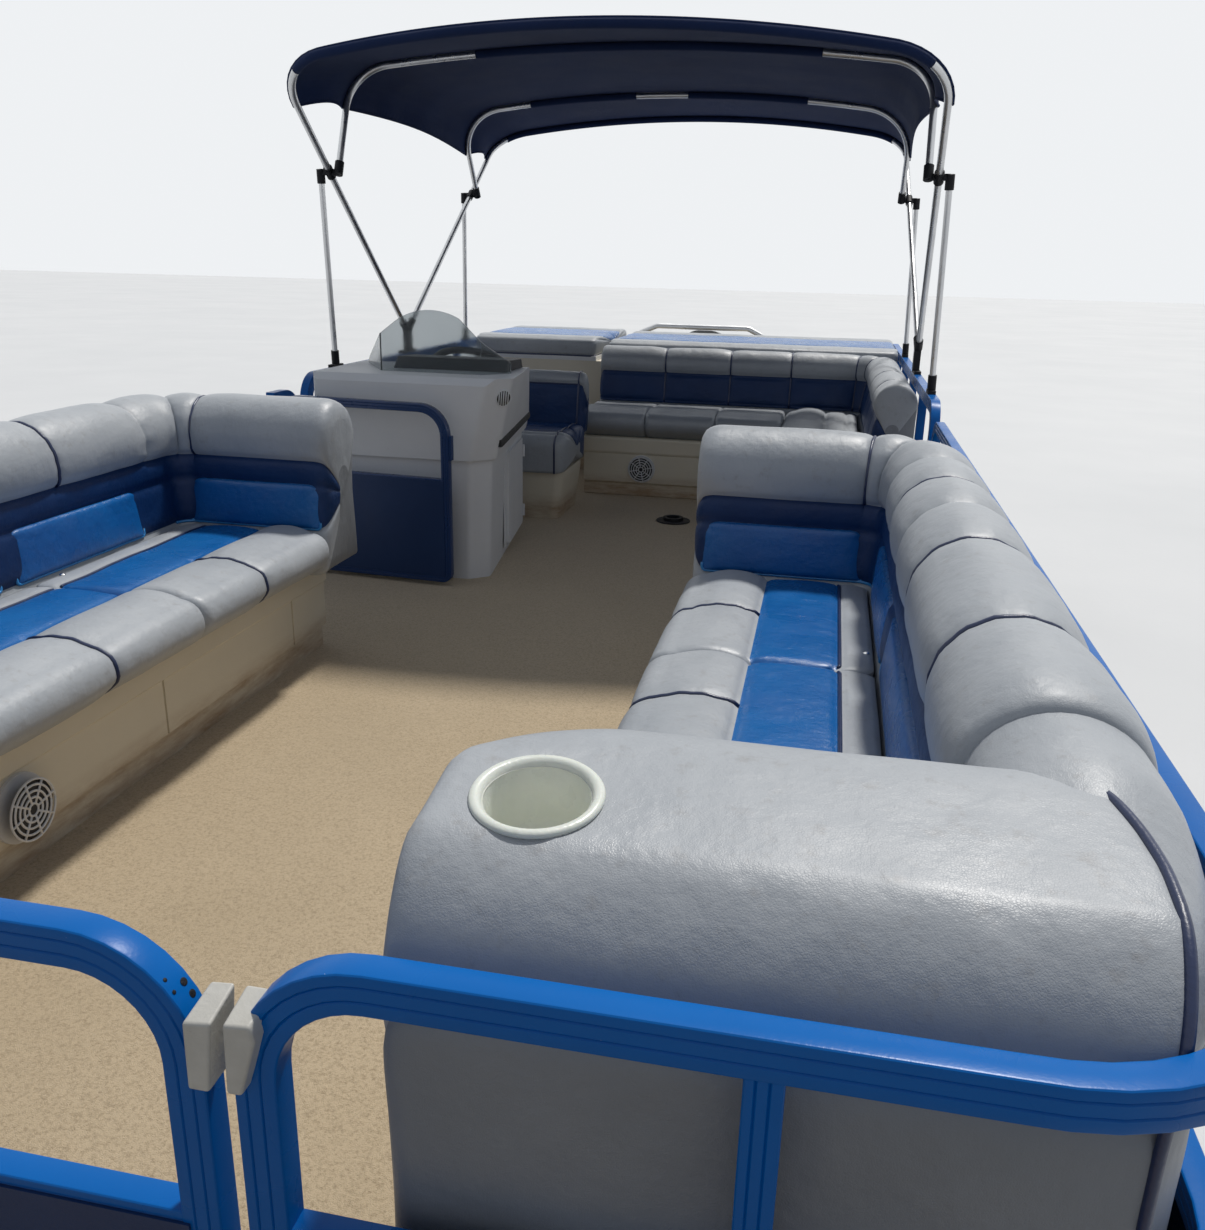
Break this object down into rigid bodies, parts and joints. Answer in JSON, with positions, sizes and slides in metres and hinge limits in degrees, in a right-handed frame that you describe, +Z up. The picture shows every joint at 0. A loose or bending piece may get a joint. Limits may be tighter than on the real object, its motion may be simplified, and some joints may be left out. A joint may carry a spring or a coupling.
{
  "type": "pontoon boat",
  "caption": "Pontoon boat on two tubes with a fenced deck, bow and side gates, couches, a helm console, a folding cloth top and a tilted-up outboard.",
  "frame": {"origin": "centre of the boat's bounding box in plan, on the plane the two keel strips stand on", "axes": "+X to port, +Y aft from the bow gate to the outboard, +Z up; the tubes run along Y"},
  "size_m": [2.438, 8.4122, 2.6281],
  "materials": {
    "alu_hull": "satin",
    "alu_tube": "satin",
    "deck_wood": "matt",
    "tan_floor": "matt",
    "blue_rail": "gloss",
    "navy_panel": "gloss",
    "white_plastic": "gloss",
    "ivory_moulding": "satin",
    "grey_vinyl": "satin",
    "black_plastic": "matt",
    "smoke_screen": "clear",
    "navy_cloth": "matt",
    "motor_paint": "gloss"
  },
  "bodies": {
    "hull": {"pontoons": "alu_hull", "cross_members": "alu_hull", "deck": "deck_wood", "deck_covering": "tan_floor", "motor_pod": "alu_hull", "front_fences": "blue_rail", "aft_fences": "blue_rail", "fence_panels": "navy_panel", "bow_gate_keeper": "white_plastic", "front_couch_bases": "ivory_moulding", "front_seat_cushions": "grey_vinyl", "front_back_cushions": "grey_vinyl", "cup_holder": "white_plastic", "stern_couch_base": "ivory_moulding", "stern_seat_cushions": "grey_vinyl", "stern_back_cushions": "grey_vinyl", "sundeck_cabinet": "ivory_moulding", "port_sun_pad": "grey_vinyl", "console": "white_plastic", "dash": "black_plastic", "windshield": "smoke_screen", "throttle": "black_plastic", "helm_chair_base": "ivory_moulding", "helm_chair_seat": "grey_vinyl", "helm_chair_back": "grey_vinyl", "table_socket": "black_plastic", "speakers": "white_plastic", "stern_arch": "alu_tube", "cleats": "alu_tube", "top_bows": "alu_tube", "braces": "alu_tube", "top_hinges": "black_plastic", "canopy": "navy_cloth", "transom_bracket": "motor_paint"},
    "bow_gate": {"bow_gate": "blue_rail", "bow_gate_latch": "white_plastic"},
    "side_gate": {"side_gate": "blue_rail"},
    "console_door": {"console_door": "white_plastic"},
    "sundeck_lid": {"sundeck_lid": "white_plastic", "starboard_sun_pad": "grey_vinyl"},
    "helm_wheel": {"helm_wheel": "black_plastic"},
    "swivel_bracket": {"swivel_bracket": "motor_paint"},
    "outboard": {"outboard_leg": "motor_paint", "outboard_cowl": "motor_paint"},
    "propeller": {"propeller": "motor_paint"}
  },
  "joints": [
    {"name": "bow_gate_hinge", "type": "hinge", "parent": "hull", "child": "bow_gate", "pos_m": [-0.3895, -3.35, 1.1], "axis": [0, 0, 1], "range_deg": [0, 90]},
    {"name": "side_gate_hinge", "type": "hinge", "parent": "hull", "child": "side_gate", "pos_m": [-1.17, -0.365, 1.1], "axis": [0, 0, 1], "range_deg": [-85, 0]},
    {"name": "console_door_hinge", "type": "hinge", "parent": "hull", "child": "console_door", "pos_m": [-0.43886, 0.42363, 0.98], "axis": [0, 0, 1], "range_deg": [0, 110]},
    {"name": "sundeck_lid_hinge", "type": "hinge", "parent": "hull", "child": "sundeck_lid", "pos_m": [-0.8, 2.879, 1.358], "axis": [-1, 0, 0], "range_deg": [0, 70]},
    {"name": "outboard_tilt", "type": "hinge", "parent": "hull", "child": "swivel_bracket", "pos_m": [0, 3.24, 0.835], "axis": [-1, 0, 0], "range_deg": [0, 50]},
    {"name": "outboard_steer", "type": "hinge", "parent": "swivel_bracket", "child": "outboard", "pos_m": [0, 3.32356, 0.93459], "axis": [0, -0.766, 0.6428], "range_deg": [-30, 30]},
    {"name": "propeller_spin", "type": "hinge", "parent": "outboard", "child": "propeller", "pos_m": [0, 4.10577, 0.71555], "axis": [0, 0.6428, 0.766], "continuous": true},
    {"name": "helm_wheel_turn", "type": "hinge", "parent": "hull", "child": "helm_wheel", "pos_m": [-0.64, 0.3325, 1.354], "axis": [0, 0.5415, 0.8407], "range_deg": [-450, 450]}
  ],
  "couplings": [
    {"joint": "helm_wheel_turn", "follows": "outboard_steer", "ratio": -15}
  ]
}
